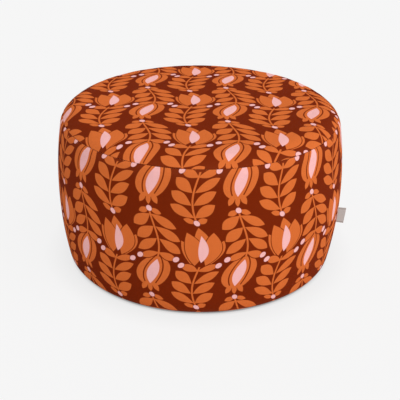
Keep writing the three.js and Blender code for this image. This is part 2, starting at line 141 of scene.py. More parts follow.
floor_mesh = bpy.data.meshes.new("floor")
floor_corners = np.array([(-1, -1, 0), (1, -1, 0), (1, 1, 0), (-1, 1, 0)]) * floor_size / 2
floor_mesh.from_pydata((floor_corners - (0, 0, floor_drop)).tolist(), [], [(0, 1, 2, 3)])
floor = add_object("floor", floor_mesh)
floor_finish = bpy.data.materials.new("floor_finish")
floor_finish.use_nodes = True
floor_tree = floor_finish.node_tree
floor_tree.nodes.clear()
# Painted shade: ambient occlusion darkens the floor's shown grey only close to the drum
contact_light = 1.0
for depth, reach in contact_shades:
    open_share = add_node("AmbientOcclusion", {"Distance": reach}, floor_tree)["AO"]
    contact_light = times(times(open_share, depth, 1 - depth), contact_light)
plain = add_node("Emission", {"Color": background_grey, "Strength": contact_light})[0]
matt = add_node("BsdfDiffuse", {"Color": floor_white}, floor_tree)[0]
plain_share = times(add_node("LightPath", tree=floor_tree)["Is Camera Ray"], 1 - shadow_share)
either = add_node("MixShader", {0: plain_share, 1: matt, 2: plain})[0]
add_node("OutputMaterial", {"Surface": either})
floor_mesh.materials.append(floor_finish)

# Outline of the drum: a crowned top, two shoulder arcs that meet at the top seam, a bowed side,
# a small base corner and a flat underside with a shallow well for the zip. Every layer follows
# it at its own depth. Its radius and height come from the frame.
drum_radius = -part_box("side_panel_front")[0].y
drum_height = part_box("top_panel")[1].z
crown_rise = 0.0045
widest_share = 0.51
bow_radius = 0.660
top_shoulder = 0.042
side_shoulder = 0.025
base_corner = 0.015
seam_tilt = math.radians(40)
zip_radius = 0.19041
# A well: the rise of its roof, and half the widths of its roof and of its foot
cover_well = (0.00365, 0.0173, 0.0293)


def on_arc(centre, radius, tilt):
    """Point of an arc in the outline's plane, its tilt measured from level."""
    return centre[0] + radius * math.cos(tilt), centre[1] + radius * math.sin(tilt)


shoulder_top = drum_height - crown_rise
widest_height = drum_height * widest_share
bow_centre = (drum_radius - bow_radius, widest_height)
shoulder_drop = top_shoulder - (top_shoulder - side_shoulder) * math.sin(seam_tilt)
bow_top_tilt = math.asin((shoulder_top - shoulder_drop - widest_height) / (bow_radius - side_shoulder))
bow_base_tilt = math.asin((widest_height - base_corner) / (bow_radius - base_corner))
side_shoulder_centre = on_arc(bow_centre, bow_radius - side_shoulder, bow_top_tilt)
top_shoulder_centre = on_arc(side_shoulder_centre, side_shoulder - top_shoulder, seam_tilt)
base_corner_centre = on_arc(bow_centre, bow_radius - base_corner, -bow_base_tilt)
outline_arcs = [
    (top_shoulder_centre, top_shoulder, math.pi / 2, seam_tilt),
    (side_shoulder_centre, side_shoulder, seam_tilt, bow_top_tilt),
    (bow_centre, bow_radius, bow_top_tilt, -bow_base_tilt),
    (base_corner_centre, base_corner, -bow_base_tilt, -math.pi / 2),
]
crown_length = top_shoulder_centre[0]
arc_lengths = [radius * (start - end) for _, radius, start, end in outline_arcs]
top_seam, bow_start, bow_end, skin_end = (crown_length + np.cumsum(arc_lengths)).tolist()
axis_end = skin_end + base_corner_centre[0]
base_seam = axis_end - zip_radius


def held(value):
    """A value held between 0 and 1."""
    return np.clip(value, 0, 1)


def eased(value):
    """A value held between 0 and 1 that starts and ends gently."""
    share = held(value)
    return share * share * (3 - 2 * share)


def skin(distance, depth, well=cover_well):
    """Radius and height at a distance along the outline from the top's middle, at a depth."""
    distance, depth = np.broadcast_arrays(distance, depth)
    share = held(distance / crown_length)
    radius = share * crown_length
    height = shoulder_top + crown_rise * (1 - share * share) - depth
    start = crown_length
    for (centre, bend, tilt, end_tilt), length in zip(outline_arcs, arc_lengths):
        turn = tilt + (end_tilt - tilt) * held((distance - start) / length)
        radius = np.where(distance > start, centre[0] + (bend - depth) * np.cos(turn), radius)
        height = np.where(distance > start, centre[1] + (bend - depth) * np.sin(turn), height)
        start += length
    below = distance > skin_end
    radius = np.where(below, axis_end - distance, radius)
    rise, roof_half, foot_half = well
    raised = rise * eased((foot_half - np.abs(radius - zip_radius)) / (foot_half - roof_half))
    return radius, np.where(below, depth + raised, height)


def grid_points(*parts):
    """Coordinates that fit one grid, as its points."""
    return np.stack(np.broadcast_arrays(*parts), -1)


def round_axis(radius, angle, *heights):
    """Points at a radius and an angle round the axis, or flat places where no height is given."""
    return grid_points(radius * np.cos(angle), radius * np.sin(angle), *heights)


def skin_points(angle, distance, depth, well=cover_well):
    """Points of the drum's skin, one for each place in a grid of angles and distances."""
    radius, height = skin(distance, depth, well)
    return round_axis(radius, angle, height)


# Foam drum: a firm blue block with a softer yellow disc glued on it. Both are cut from slab
# foam with a hot wire, which leaves faint ripples and open cells in the surface.
foam_depth = 0.0131
no_well = (0.0, 0.0, 1.0)
seat_foam_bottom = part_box("seat_foam")[0].z
core_foam_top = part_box("core_foam")[1].z
foam_rounding = 0.0025
foam_columns = 240
foam_step = 0.006
cut_shares = np.array([0, 0.2, 0.4, 0.6, 0.8, 0.9, 0.96, 1])
wire_ripple = 0.00025
ripple_waves = [(37, 160, 0)]
firm_blue = linear(150, 172, 190)
soft_yellow = linear(238, 224, 176)
firm_cell = 0.0016
soft_cell = 0.0012


def body_mesh(name, outside, inside=None, flat=None, wrapped=True):
    """A closed mesh from a grid of points outside and one inside, joined along their edges.

    Without an inside the grid runs from pole to pole. flat holds the cloth's flat place of each
    point, with one column more than the grid where that is wrapped round the axis.
    """
    rows, columns = outside.shape[:2]
    points = outside if inside is None else np.concatenate([outside, inside[::-1]])
    count = len(points)
    row, column = np.indices((count - (inside is None), columns - (not wrapped))).reshape(2, -1)
    corners = [np.array([[row, row + 1, row + 1, row], [column, column, column + 1, column + 1]])]
    if not wrapped:
        upper, one_edge = np.arange(rows - 1), np.ones((4, rows - 1), int)
        for edge, first, second in ((0, upper + 1, upper), (columns - 1, upper, upper + 1)):
            corners.append(np.array([[first, second, -1 - second, -1 - first], edge * one_edge]))
    at_row, at_column = np.concatenate(corners, -1).transpose(0, 2, 1)
    at_row = at_row % count
    mesh = bpy.data.meshes.new(name)
    faces = at_row * columns + at_column % columns
    mesh.from_pydata(points.reshape(-1, 3).tolist(), [], faces.tolist())
    if flat is not None:
        places = flat[np.minimum(at_row, count - 1 - at_row), at_column]
        mesh.uv_layers.new(name="cloth").data.foreach_set("uv", places.ravel())
    shape = bmesh.new()
    shape.from_mesh(mesh)
    bmesh.ops.remove_doubles(shape, verts=shape.verts, dist=1e-7)
    bmesh.ops.dissolve_degenerate(shape, edges=shape.edges, dist=1e-8)
    if shape.calc_volume(signed=True) < 0:
        bmesh.ops.reverse_faces(shape, faces=shape.faces)
    return settle(mesh, 50, shape)


def settle(mesh, sharp_degrees, shape=None):
    """Writes an edited shape to its mesh, and shades the mesh smoothly apart from sharp edges."""
    if shape is not None:
        shape.to_mesh(mesh)
        shape.free()
    mesh.shade_smooth()
    mesh.set_sharp_from_angle(angle=math.radians(sharp_degrees))
    return mesh


def add_piece(mesh, finish=None, node=None, body="upholstery"):
    """Makes a mesh a piece that rides on a body, and that may stand for a solid of the frame."""
    piece = add_object(mesh.name, mesh)
    if finish:
        mesh.materials.clear()
        mesh.materials.append(finish)
    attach(piece, body)
    if node:
        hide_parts(node)
    return piece


def all_round(columns):
    """Angles all round the drum as a row of a grid, from 0 to a full turn."""
    return np.linspace(0, 2 * math.pi, columns + 1)[None, :]


def waves(angle, distance, table):
    """Sum of waves, each with its count round the drum, its turn per metre down it and its start."""
    return sum(np.sin(count * angle + turn * distance + start) for count, turn, start in table)


def feed(inputs, label, value):
    """Leads a node's output to another node's input."""
    value.id_data.links.new(value, inputs[label])


def new_group(name, inputs, outputs, kind="Shader"):
    """A node group and its two end nodes. An input is a kind of socket or a number's usual value."""
    tree = bpy.data.node_groups.new(name, kind + "NodeTree")
    for way, sockets in (("INPUT", inputs), ("OUTPUT", outputs)):
        for label, value in sockets.items():
            named = isinstance(value, str)
            socket_type = "NodeSocket" + (value if named else "Float")
            socket = tree.interface.new_socket(label, in_out=way, socket_type=socket_type)
            if not named:
                socket.default_value = value
    return tree, tree.nodes.new("NodeGroupInput").outputs, tree.nodes.new("NodeGroupOutput").inputs


def noise(place, scale, **inputs):
    """Cloudy noise from 0 to 1 over a place."""
    return add_node("TexNoise", {"Vector": place, "Scale": scale, **inputs})[0]


def minus(first, second):
    """The difference of two numbers."""
    return calc("SUBTRACT", first, second)


def scaled(vector, factor):
    """A place or a colour times a factor."""
    return add_node("VectorMath", {0: vector, "Scale": factor}, operation="SCALE")[0]


# Slow changes of tone over a surface, from handling, dust and dye
tone_group, given, done = new_group(
    "uneven_tone", {"Vector": "Vector", "Patch size": 0.05, "Depth": 0.1}, {"Tone": "Float"},
)
patches = noise(given["Vector"], calc("DIVIDE", 1.0, given["Patch size"]), Detail=3.0, Roughness=0.55)
feed(done, "Tone", times(times(patches, 2.0, -1.0), given["Depth"], 1.0))


def uneven_tone(place, patch_size, depth):
    """A tone near 1 that drifts over the surface."""
    inputs = {"Vector": place, "Patch size": patch_size, "Depth": depth}
    return add_node("Group", inputs, node_tree=tone_group)[0]


def new_finish(name, on_cloth=False, **values):
    """A material, its shader's inputs and the place that its nodes read, in space or on flat cloth.

    Constant values are set on the shader's own sockets.
    """
    finish = bpy.data.materials.new(name)
    finish.use_nodes = True
    tree = finish.node_tree
    shader = tree.nodes["Principled BSDF"].inputs
    for label, value in values.items():
        shader[label.replace("_", " ").title().replace("Ior", "IOR")].default_value = value
    if on_cloth:
        return finish, shader, add_node("UVMap", tree=tree, uv_map="cloth")[0]
    return finish, shader, add_node("TexCoord", tree=tree)["Object"]


def dress(shader, colour, height, depth, rough=None):
    """Leads a colour, a height of some depth and a roughness to the shader."""
    feed(shader, "Base Color", colour)
    feed(shader, "Normal", add_node("Bump", {"Height": height, "Distance": depth, "Strength": 1.0})[0])
    if rough:
        feed(shader, "Roughness", rough)


def skin_distance(height, depth):
    """Where along the outline the bowed side reaches a height, at a depth."""
    tilt = math.asin((height - widest_height) / (bow_radius - depth))
    return bow_start + bow_radius * (bow_top_tilt - tilt)


core_side = skin_distance(core_foam_top - foam_rounding, foam_depth)
seat_side = skin_distance(seat_foam_bottom + foam_rounding, foam_depth)
for node, start, end, cut_height, slot, colour, cell_size, fill in (
    ("core_foam", core_side, axis_end, core_foam_top, "firm_foam", firm_blue, firm_cell, 1.0),
    ("seat_foam", 0, seat_side, seat_foam_bottom, "soft_foam", soft_yellow, soft_cell, 0.9),
):
    distance = np.linspace(start, end, round((end - start) / foam_step))[:, None]
    angle = all_round(foam_columns)[:, :-1]
    ripple = wire_ripple * (1 + waves(angle, distance, ripple_waves)) / 2
    sides = skin_points(angle, distance, foam_depth + ripple, no_well)
    edge = sides[0 if start else -1]
    cut = edge * (cut_shares * (1 - foam_rounding / drum_radius))[:, None, None]
    cut[:, :, 2] = cut_height
    block = np.concatenate([cut, sides] if start else [sides, cut[::-1]])
    finish, shader, place = new_finish(slot + "_finish", roughness=0.95, specular_ior_level=0.1)
    cells = add_node("TexVoronoi", {"Vector": place, "Scale": 1 / cell_size})
    walls = minus(1.0, cells["Distance"])
    # The foam's colour is painted darker in the low hollows of its cells, as shade, on top of a random
    # drift of tone
    tone = times(times(walls, 0.35, 0.65), uneven_tone(place, 0.07, 0.06))
    dress(shader, scaled(colour[:3], tone), walls, 0.0006)
    foam = add_piece(body_mesh(node + "_block", block), finish, node)

# Fibre wadding: white polyester, 10 mm thick, cut in a disc for the top, a strip for the side
# and a disc for the base, and laid round the foam. Its surface is soft and a little lumpy.
wadding_depth = 0.0028
wadding_thickness = 0.010
wadding_lump = 0.0014
lump_waves = [(23, 90, 0), (31, -70, 0)]
lump_start = 0.05
wadding_columns = 300
wadding_step = 0.005
wadding_edge = 0.003
wadding_white = linear(244, 243, 238)
wadding_well = (0.0069, 0.0057, 0.0296)
piece_gap = 0.0003
edge_steps = np.array([0, 0.15, 0.35, 0.6, 0.9, 1.4, 2.2, 3.4]) * 0.001


def spaced(start, end, step, edges=None):
    """A column of places from start to end, closer together where an end is an edge."""
    edges = edges or (start > 0, end < axis_end)
    low, high = (edge_steps if is_edge else edge_steps[:1] for is_edge in edges)
    count = max(round((end - start - low[-1] - high[-1]) / step), 1)
    middle = np.linspace(start + low[-1], end - high[-1], count + 1)[1:-1]
    return np.concatenate([start + low, middle, (end - high)[::-1]])[:, None]


def edge_dip(from_edge, radius):
    """How far a rounded edge drops below the surface, at a distance from the edge."""
    short = np.clip(radius - from_edge, 0, radius)
    return radius - np.sqrt(radius * radius - short * short)


fibre_finish, shader, place = new_finish(
    "fibre_finish", roughness=1.0, specular_ior_level=0.05, sheen_weight=0.3,
)
fibres = noise(place, 900.0, Detail=4.0, Distortion=1.5)
# The wadding's white is painted darker where its fibre bumps are low, as shade between the fibres
tone = times(times(fibres, 0.2, 0.88), uneven_tone(place, 0.03, 0.05))
dress(shader, scaled(wadding_white[:3], tone), fibres, 0.001)

for node, start, end in (
    ("wadding_top", 0, top_seam - piece_gap),
    ("wadding_side", top_seam + piece_gap, bow_end - piece_gap),
    ("wadding_base", bow_end + piece_gap, axis_end),
):
    distance = spaced(start, end, wadding_step)
    angle = all_round(wadding_columns)[:, :-1]
    from_start = distance - start if start else drum_radius
    from_end = end - distance if end < axis_end else drum_radius
    dip = edge_dip(np.minimum(from_start, from_end), wadding_edge)
    calm = held(np.minimum(distance, axis_end - distance) / lump_start)
    lump = wadding_lump * (1 + waves(angle, distance, lump_waves) / 2) * calm / 2
    layer = add_piece(body_mesh(
        node + "_layer",
        skin_points(angle, distance, wadding_depth + dip + lump, wadding_well),
        skin_points(angle, distance, wadding_depth + wadding_thickness - dip, no_well),
    ), fibre_finish, node)

# Liner: unbleached calico in three pieces, sewn round the filling so that it holds together
# when the printed cover is off for washing. Its base is raised over the zip.
liner_depth = 0.0019
liner_thickness = 0.0006
liner_columns = 360
liner_step = 0.006
liner_seam = bow_end + arc_lengths[3] / 3
liner_crease = 0.00015
crease_count = 61
crease_wander = 3
wander_count = 5
crease_reach = 0.04
calico_cream = linear(228, 219, 198)

weave_group, given, done = new_group("plain_weave", {
    "Vector": "Vector", "Thread": 0.0006, "Slub": 0.3,
}, {"Height": "Float", "Tone": "Float"})
counted = scaled(given["Vector"], calc("DIVIDE", 1.0, given["Thread"]))
yarns = add_node("SeparateXYZ", {0: counted})
yarn_numbers = [calc("FLOOR", yarns[axis]) for axis in (0, 1)]
yarn_rounds, yarn_slubs = [], []
for axis, number in enumerate(yarn_numbers):
    middle = minus(minus(yarns[axis], number), 0.5)
    yarn_rounds.append(calc("COSINE", times(middle, math.pi)))
    yarn_slubs.append(add_node("TexNoise", {"W": number, "Scale": 0.73}, noise_dimensions="1D")[0])
lifted = calc("FLOORED_MODULO", calc("ADD", *yarn_numbers), 2.0)
yarn_heights = [times(yarn_rounds[over], times(yarn_rounds[1 - over], 0.4, 0.6)) for over in (0, 1)]
height, slub = (
    add_node("Mix", {0: lifted, 2: first, 3: second})[0] for first, second in (yarn_heights, yarn_slubs)
)
feed(done, "Height", height)
feed(done, "Tone", times(minus(slub, 0.5), given["Slub"], 1.0))


def plain_weave(place, thread, slub, patch_size, drift):
    """Height and uneven tone of plain woven cloth."""
    inputs = {"Vector": place, "Thread": thread, "Slub": slub}
    height, tone = add_node("Group", inputs, node_tree=weave_group)
    return height, times(tone, uneven_tone(place, patch_size, drift))


def cloth_finish(name, colour, thread, slub, drift, **values):
    """Plain woven cloth of one dye, painted darker in the dips of its weave as shade."""
    finish, shader, place = new_finish(name, True, roughness=0.9, specular_ior_level=0.15, **values)
    height, tone = plain_weave(place, thread, slub, 0.06, drift)
    # The dye is painted darker in the weave's dips, as shade between the threads, on top of the slub and
    # the drift of tone
    dye_and_painted_dip_shade = scaled(colour[:3], times(tone, times(height, 0.25, 0.80)))
    dress(shader, dye_and_painted_dip_shade, height, thread * 0.3, times(height, -0.12, 0.95))
    return finish


def disc_flat(angle, distance):
    """Flat place of a disc's points, by their distance from its middle."""
    return round_axis(distance, angle)


def base_flat(angle, distance):
    """Flat place of the base disc's points."""
    return disc_flat(angle, axis_end - distance)


def strip_flat(angle, distance):
    """Flat place of a side strip's points: round the drum and up it."""
    return grid_points(angle * drum_radius, top_seam - distance)


calico_finish = cloth_finish("calico_finish", calico_cream, thread=0.0007, slub=0.35, drift=0.05)
for label, start, end, flat_of, across in (
    ("top", 0, top_seam - piece_gap, disc_flat, 2 * top_seam),
    ("side", top_seam + piece_gap, liner_seam - piece_gap, strip_flat, None),
    ("base", liner_seam + piece_gap, axis_end, base_flat, 2 * (axis_end - liner_seam)),
):
    distance = spaced(start, end, liner_step)
    angle = all_round(liner_columns)
    creases = 1 + np.sin(crease_count * angle + crease_wander * np.sin(wander_count * angle))
    near_edge = held(1 - np.abs(distance - (start or end)) / crease_reach)
    outer = (liner_depth - liner_crease * creases * near_edge / 2)[:, :-1]
    walls = [
        skin_points(angle[:, :-1], distance, depth, wadding_well)
        for depth in (outer, outer + liner_thickness)
    ]
    mesh = body_mesh("liner_" + label + "_cloth", *walls, flat_of(angle, distance))
    liner = add_piece(mesh, calico_finish, "liner_" + label)

# Printed cloth: plain woven cotton, printed in rust brown, orange and pink with upright stems,
# each with paired leaves and a tulip or a seed pod on top. Neighbouring stems run opposite ways.
# The print's sizes are in millimetres of flat cloth.
print_scale = 1000.0
column_width = 70.0
repeat_height = 160.0
odd_drop = 30.0
sway = 9.0
outline_gap = 1.4
ink_blur = 0.35
rust_brown = linear(116, 36, 7)
leaf_orange = linear(212, 107, 50)
petal_pink = linear(242, 183, 181)
rubbed_orange = linear(196, 120, 84)
lint_brown = linear(190, 90, 40)
printed_thread = 0.00055

leaf_group, given, done = new_group("leaf_mark", {
    "X": 0.0, "Y": 0.0, "Place X": 0.0, "Place Y": 0.0, "Turn": 0.0,
    "Half length": 10.0, "Half width": 5.0, "Fullness": 0.0,
}, {"Distance": "Float"})
from_x, from_y = minus(given["X"], given["Place X"]), minus(given["Y"], given["Place Y"])
turn_cos, turn_sin = calc("COSINE", given["Turn"]), calc("SINE", given["Turn"])
along = times(from_x, turn_cos, times(from_y, turn_sin))
aside = minus(times(from_y, turn_cos), times(from_x, turn_sin))
share = calc("DIVIDE", along, given["Half length"])
held_share = calc("MAXIMUM", calc("MINIMUM", share, 1.0), -1.0)
belly = times(held_share, given["Fullness"], 1.0)
taper = minus(1.0, times(share, share))
half_width = times(times(taper, belly), given["Half width"])
feed(done, "Distance", minus(calc("ABSOLUTE", aside), half_width))

print_group, given, done = new_group(
    "stem_print", {"Vector": "Vector", "Blur": 0.3}, {"Orange": "Float", "Pink": "Float"},
)
flat = add_node("SeparateXYZ", {0: scaled(given["Vector"], print_scale)})
bend = calc("SINE", times(flat[1], 2 * math.pi / repeat_height))
swayed = times(bend, -sway, flat[0])
column = calc("FLOOR", times(swayed, 1 / column_width, 0.5))
odd = calc("FLOORED_MODULO", column, 2.0)
side_x = calc("ABSOLUTE", times(column, -column_width, swayed))
wrapped_y = calc("WRAP", times(odd, -odd_drop, flat[1]), repeat_height / 2, -repeat_height / 2)
stem_y = times(wrapped_y, times(odd, -2.0, 1.0))


def leaf(place_x, place_y, turn, half_length, half_width, fullness=0.0):
    """Distance outside a leaf shape on both sides of the stem, turned by some degrees."""
    inputs = (side_x, stem_y, place_x, place_y, math.radians(turn), half_length, half_width, fullness)
    return add_node("Group", dict(enumerate(inputs)), node_tree=leaf_group)[0]


def round_mark(place_x, place_y, radius, stretch=1.0):
    """Distance outside a round shape on both sides of the stem."""
    from_x = minus(side_x, place_x)
    from_y = calc("DIVIDE", minus(stem_y, place_y), stretch)
    return minus(calc("SQRT", times(from_x, from_x, times(from_y, from_y))), radius)


def together(first, *others):
    """The union of shapes."""
    for shape in others:
        first = calc("MINIMUM", first, shape)
    return first


def cut_by(shape, cutter, gap=outline_gap):
    """A shape with another cut out of it, and a line of bare cloth left between them."""
    return calc("MAXIMUM", shape, minus(gap, cutter))


front_petals = leaf(14.5, 40, 78, 30, 14.0, 0.05)
back_petals = leaf(0, 48, 90, 30, 13.0, 0.1), leaf(23.4, 33, 66, 24, 7.2, 0.35)
tulip = together(front_petals, *(cut_by(petals, front_petals) for petals in back_petals))
tulip_heart = leaf(0, 40, 90, 24, 8.0, -0.2)
pod_rib = calc("ABSOLUTE", leaf(0, 38, 90, 36, 15))
pod_body = cut_by(round_mark(0, 38, 27.5, 1.1), pod_rib, outline_gap * 0.8)
pod = together(pod_body, leaf(9.5, 67.5, 62, 10.5, 4.6, 0.15), leaf(0, 69.5, 90, 9.5, 4.0, 0.15))
pod_heart = leaf(0, 38, 90, 25, 9.5)
calyx = leaf(14.5, 5.5, 20, 16, 6.2, 0.25)
head, heart = (
    cut_by(add_node("Mix", {0: odd, 2: first, 3: second})[0], calyx)
    for first, second in ((tulip, pod), (tulip_heart, pod_heart))
)
stem_reach = minus(calc("ABSOLUTE", calc("ADD", stem_y, 36.0)), 44.0)
stem = calc("MAXIMUM", minus(side_x, 1.5), stem_reach)
stem_leaves = [
    leaf(18.2, -13, 36, 20, 8.0, 0.3), leaf(18.2, -34, 34, 20, 8.3, 0.3),
    leaf(17.6, -55, 32, 20, 8.1, 0.3), leaf(9, -71, 20, 10, 4.5, 0.3),
]
berries = together(round_mark(29.6, 10, 4.9), round_mark(0, -74.5, 4.6))
orange = cut_by(together(head, stem, calyx, *stem_leaves), berries, outline_gap / 2)
for label, shape in (("Orange", orange), ("Pink", together(heart, berries))):
    soft_edge = times(calc("DIVIDE", shape, given["Blur"]), -0.5, 0.5)
    feed(done, label, add_node("Clamp", {0: soft_edge})[0])


def mix_colours(share, first, second):
    """The result of a colour Mix node."""
    return add_node("Mix", {0: share, 6: first, 7: second}, data_type="RGBA")[2]


printed_finish, shader, place = new_finish(
    "printed_finish", True, roughness=0.95, specular_ior_level=0.02, sheen_weight=0.02,
    sheen_roughness=0.4, sheen_tint=lint_brown,
)
orange, pink = add_node("Group", {"Vector": place, "Blur": ink_blur}, node_tree=print_group)
inked = mix_colours(pink, mix_colours(orange, rust_brown, leaf_orange), petal_pink)
height, tone = plain_weave(place, printed_thread, 0.22, 0.08, 0.04)
# The print is painted darker in the weave's dips, as shade between the threads, on top of the slub and
# the drift of tone
inked = scaled(inked, times(tone, times(height, 0.16, 0.88)))
rubbed = add_node("Attribute", tree=printed_finish.node_tree, attribute_name="rubbed")["Fac"]
worn = mix_colours(times(rubbed, noise(place, 700.0, Detail=2.0)), inked, rubbed_orange)
dress(shader, worn, height, printed_thread * 0.25, times(height, -0.15, 0.92))

# Cover panels: a disc over the top shoulder, and two strips that meet at the sides. Their edges
# are turned in by a centimetre and sewn together inside, so that each seam is a fine groove. The
# side strips run under the base corner to the zip.
cloth_thickness = 0.0008
seam_allowance = 0.010
allowance_edge = 0.001
fold_rounding = 0.0008
cover_columns = 480
cover_step = 0.0045
swell_height = 0.00045
swell_waves = [(5, 22, 0), (8, -31, 2)]
swell_start = 0.12
hem_swell = 0.0002
rise_fade = 0.03
zip_start, zip_end = math.radians(15), math.radians(165)
tape_tail = 0.012
opening_half = 0.0065
opening_taper = 0.004
label_middle = 0.066
label_height = 0.030
label_pocket = 0.0007
pocket_taper = 0.004
front_print_shift = (0.030, 0.012)
rear_print_shift = (0.011, 0.055)
top_print_shift = (0.018, 0.031)
# Where the cover gets rubbed: the height, the reach and the share of wear
rubbed_places = ((side_shoulder_centre[1] + side_shoulder / 2, 0.012, 0.07), (0.004, 0.006, 0.14))

# The cover is tried on as simulated cloth, sewn to a thread that pulls in unevenly, with the
# filling's pressure behind it. What the thread gathers shows as puckers beside the seams. Only
# the unevenness is kept, because the outline above already holds the cover's fullness.
fit_columns = 360
fit_frames = 20
fit_stiffness = 20.0
seam_pull = 0.0010
side_seam_pull = 0.0006
pull_waves = (23, 37, 53, 71, 89)
pull_unevenness = 0.35
pucker_share = 0.4
pucker_limit = 0.0005
near_seam = np.array([0.0022, 0.0045, 0.007, 0.010, 0.0135, 0.018, 0.024, 0.031])
fit_rows = np.concatenate([
    np.linspace(0, top_seam - near_seam[-1], 24)[:-1],
    top_seam - near_seam[::-1],
    [top_seam],
    top_seam + near_seam,
    np.linspace(top_seam + near_seam[-1], skin_end, 28)[1:],
])


def vertex_places(mesh):
    """The places of a mesh's points."""
    places = np.zeros(3 * len(mesh.vertices))
    mesh.vertices.foreach_get("co", places)
    return places.reshape(-1, 3)


def cover_fit():
    """How far the sewn cover rises or sinks in a grid of distances and angles."""
    angle = all_round(fit_columns)[:, :-1]
    smooth = skin_points(angle, fit_rows[:, None], 0)
    gathered = smooth.copy()
    seam_row = int(np.argmin(np.abs(fit_rows - top_seam)))
    starts = np.random.default_rng(7).uniform(0, 2 * math.pi, len(pull_waves))
    swing = waves(angle, 0, [(count, 0, start) for count, start in zip(pull_waves, starts)])
    pull = seam_pull * (1 + pull_unevenness * swing / len(pull_waves))
    gathered[seam_row] = skin_points(angle, top_seam, pull)
    for column, inwards in ((0, -side_seam_pull), (fit_columns // 2, side_seam_pull)):
        gathered[seam_row + 1:-1, column, 0] += inwards

    # The first row of the grid is a single point, the middle of the top
    number = np.arange(fit_rows.size * fit_columns).reshape(-1, fit_columns) + 1 - fit_columns
    number[0] = 0
    sewn_points, cut_points = (grid.reshape(-1, 3)[fit_columns - 1:] for grid in (gathered, smooth))
    following = np.roll(number, -1, 1)
    faces = np.stack([number[0], number[1], following[1]], -1).tolist()
    rings = np.stack([number[1:-1], number[2:], following[2:], following[1:-1]], -1)
    mesh = bpy.data.meshes.new("cover_fit")
    mesh.from_pydata(sewn_points.tolist(), [], faces + rings.reshape(-1, 4).tolist())
    sheet = add_object("cover_fit", mesh)
    sheet.shape_key_add(name="gathered")
    cut = sheet.shape_key_add(name="cut")
    cut.data.foreach_set("co", cut_points.ravel())
    sewn = sheet.vertex_groups.new(name="sewn")
    side_seams = number[seam_row:-1, ::fit_columns // 2].ravel()
    sewn.add(np.concatenate([number[seam_row], number[-1], side_seams]).tolist(), 1.0, "REPLACE")
    cloth = sheet.modifiers.new("cover_fit", "CLOTH")
    settings = cloth.settings
    settings.tension_stiffness = settings.compression_stiffness = fit_stiffness
    settings.shear_stiffness = fit_stiffness / 2
    settings.bending_stiffness = 0.2
    settings.tension_damping = settings.compression_damping = settings.shear_damping = 10
    settings.air_damping = 8
    settings.vertex_group_mass = sewn.name
    settings.use_pressure = True
    settings.uniform_pressure_force = 1.5
    settings.effector_weights.gravity = 0
    settings.rest_shape_key = cut
    cloth.point_cache.frame_end = fit_frames
    for step in range(1, fit_frames + 1):
        scene.frame_set(step)
    settled = vertex_places(sheet.evaluated_get(bpy.context.evaluated_depsgraph_get()).data)
    bpy.data.objects.remove(sheet)
    scene.frame_set(1)
    moved = settled[number] - smooth
    radial, upward = (np.array(skin(fit_rows, 0)) - skin(fit_rows, 1))[:, :, None]
    rise = (moved[:, :, 0] * np.cos(angle) + moved[:, :, 1] * np.sin(angle)) * radial
    rise += moved[:, :, 2] * upward
    rise -= rise.mean(1, keepdims=True)
    rise = (np.roll(rise, 1, 1) + 2 * rise + np.roll(rise, -1, 1)) / 4
    return pucker_limit * np.tanh(pucker_share * rise / pucker_limit)


fit_rise = cover_fit()


def cloth_rise(angle, distance):
    """How far the cloth stands out: the filling's slow swell and the puckers of the fit."""
    slow = waves(angle, distance, swell_waves) * held(distance / swell_start)
    row = np.interp(distance, fit_rows, np.arange(len(fit_rows)))
    column = angle / (2 * math.pi) % 1 * fit_columns
    row, column = np.broadcast_arrays(row, column)
    upper, left = np.minimum(row.astype(int), len(fit_rows) - 2), column.astype(int)
    down, along = row - upper, column - left
    above, below = (
        fit_rise[at, left % fit_columns] * (1 - along) + fit_rise[at, (left + 1) % fit_columns] * along
        for at in (upper, upper + 1)
    )
    return swell_height * (2 + slow) / 4 + above * (1 - down) + below * down


def cover_panel(node, angle, distance, from_edge, flat, wrapped, finish, slot):
    """A panel of the cover: twice as thick where its edge is turned in, with rounded folds."""
    turned_in = held((seam_allowance + allowance_edge - from_edge) / allowance_edge)
    rise = (cloth_rise(angle, distance) + hem_swell * turned_in) * held((skin_end - distance) / rise_fade)
    outer = edge_dip(from_edge, fold_rounding) - rise
    inner = cloth_thickness * (1 + turned_in) - rise
    walls = [skin_points(angle, distance, depth) for depth in (outer, inner)]
    return add_piece(body_mesh(node + "_cloth", *walls, flat, wrapped), finish, node)


def printed_panel(*values):
    """A printed panel, marked where a cover gets rubbed: the top shoulder and the base corner."""
    piece = cover_panel(*values, printed_finish, "printed_cloth")
    height = vertex_places(piece.data)[:, 2]
    worn = sum(wear * np.exp(-((height - middle) / reach) ** 2) for middle, reach, wear in rubbed_places)
    rubbed = piece.data.attributes.new("rubbed", "FLOAT", "POINT")
    rubbed.data.foreach_set("value", worn.astype(np.float32))
    return piece


def zip_opening(angle):
    """Half the width of the opening over the zip, or of the closed seam elsewhere."""
    tail = tape_tail / 2 / zip_radius
    from_end = np.minimum(angle - zip_start - tail, zip_end - tail - angle) * zip_radius
    return piece_gap / 2 + (opening_half - piece_gap / 2) * eased(from_end / opening_taper + 0.5)


full_round = all_round(cover_columns)
top_distance = spaced(0, top_seam - piece_gap / 2, cover_step)
top_flat = disc_flat(full_round, top_distance) + top_print_shift
top_cloth = printed_panel(
    "top_panel", full_round[:, :-1], top_distance, top_distance[-1] - top_distance, top_flat, True,
)

